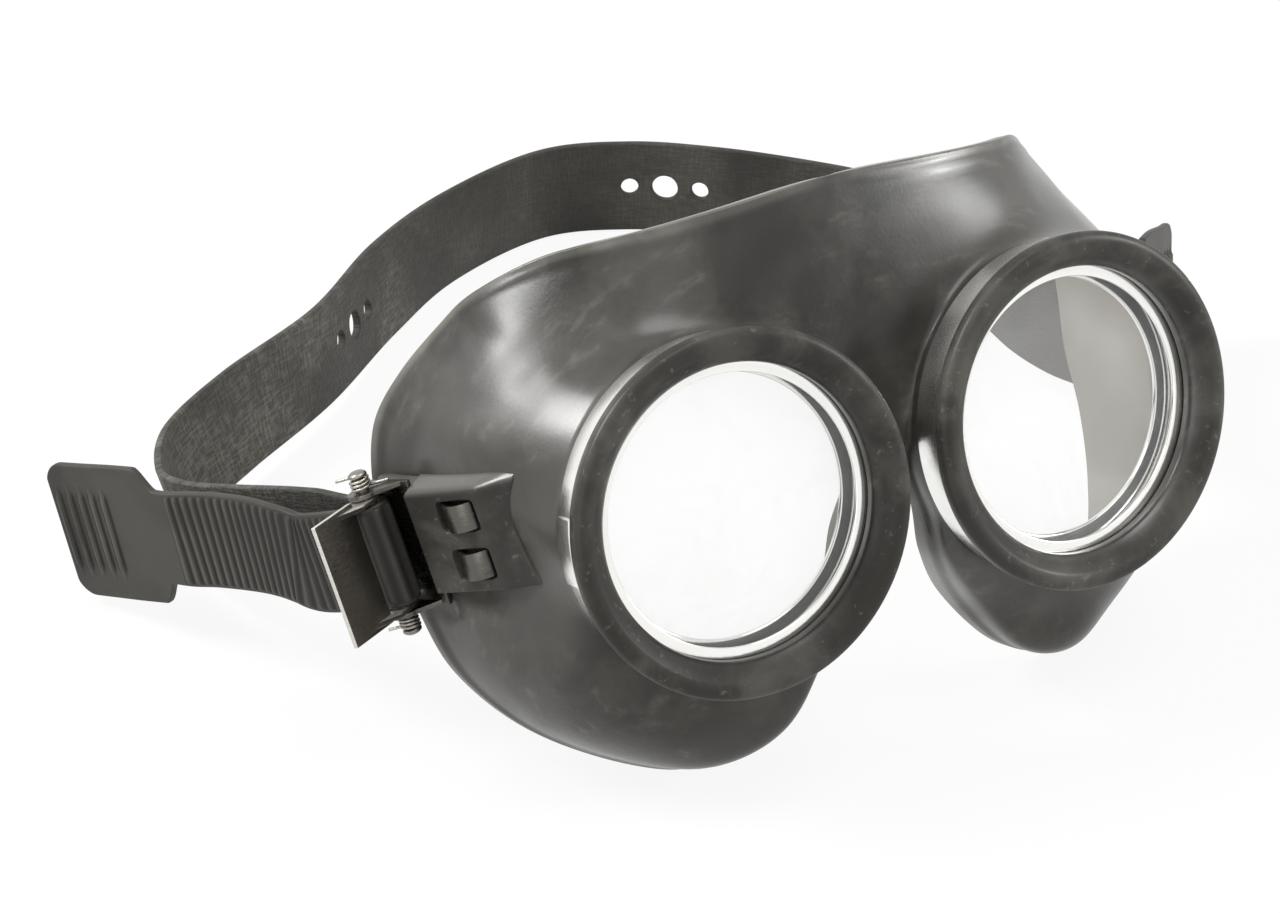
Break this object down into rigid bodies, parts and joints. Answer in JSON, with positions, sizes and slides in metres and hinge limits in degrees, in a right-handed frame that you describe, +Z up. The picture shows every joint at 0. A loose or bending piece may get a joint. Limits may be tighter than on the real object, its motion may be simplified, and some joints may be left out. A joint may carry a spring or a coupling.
{
  "type": "safety goggles",
  "caption": "Rubber safety goggles with round glass lenses held by metal clamp bands, sprung lever buckles and a long rubber headband laid in a loop behind the mask.",
  "frame": {"origin": "centre of the bottom of the bounding box, on the surface that the goggles lie on", "axes": "+Z up, -Y the way the lenses face, +X towards the wearer's left"},
  "size_m": [0.229, 0.2078, 0.0915],
  "materials": {
    "mask_rubber": "satin moulded rubber, faintly mottled",
    "headband_rubber": "matt rubber with a fine woven imprint",
    "band_metal": "smooth rolled strip",
    "ring_metal": "turned",
    "lens_glass": "polished",
    "clear_disc": "clear sheet",
    "buckle_steel": "plated sheet steel",
    "pin_steel": "drawn wire",
    "lever_steel": "plated sheet steel, rubbed bright at its edges",
    "spring_steel": "spring wire"
  },
  "bodies": {
    "mask": {"mask_body": "mask_rubber", "left_clamp_band": "band_metal", "left_seat_ring": "ring_metal", "left_lens_glass": "lens_glass", "left_clear_disc": "clear_disc", "left_snap_ring": "ring_metal", "left_buckle_base": "buckle_steel", "left_hinge_pin": "pin_steel", "left_lever_springs": "spring_steel", "right_clamp_band": "band_metal", "right_seat_ring": "ring_metal", "right_lens_glass": "lens_glass", "right_clear_disc": "clear_disc", "right_snap_ring": "ring_metal", "right_buckle_base": "buckle_steel", "right_hinge_pin": "pin_steel", "right_lever_springs": "spring_steel", "headband": "headband_rubber"},
    "right_lever": {"right_thumb_lever": "lever_steel"},
    "right_roller": {"right_roller": "buckle_steel"},
    "left_lever": {"left_thumb_lever": "lever_steel"},
    "left_roller": {"left_roller": "buckle_steel"}
  },
  "joints": [
    {"name": "right_lever_hinge", "type": "hinge", "parent": "mask", "child": "right_lever", "pos_m": [-0.0861, -0.05185, 0.03621], "axis": [-0.1543, 0.3444, 0.9261], "range_deg": [0, 70], "stiffness_Nm_per_rad": 0.005, "springref_deg": -34.38},
    {"name": "right_roller_spin", "type": "hinge", "parent": "mask", "child": "right_roller", "pos_m": [-0.0861, -0.05185, 0.03621], "axis": [-0.1543, 0.3444, 0.9261], "continuous": true},
    {"name": "left_lever_hinge", "type": "hinge", "parent": "mask", "child": "left_lever", "pos_m": [0.0629, -0.05185, 0.03621], "axis": [-0.1543, -0.3444, -0.9261], "range_deg": [0, 28], "stiffness_Nm_per_rad": 0.005, "springref_deg": -34.38},
    {"name": "left_roller_spin", "type": "hinge", "parent": "mask", "child": "left_roller", "pos_m": [0.0629, -0.05185, 0.03621], "axis": [-0.1543, -0.3444, -0.9261], "continuous": true}
  ]
}
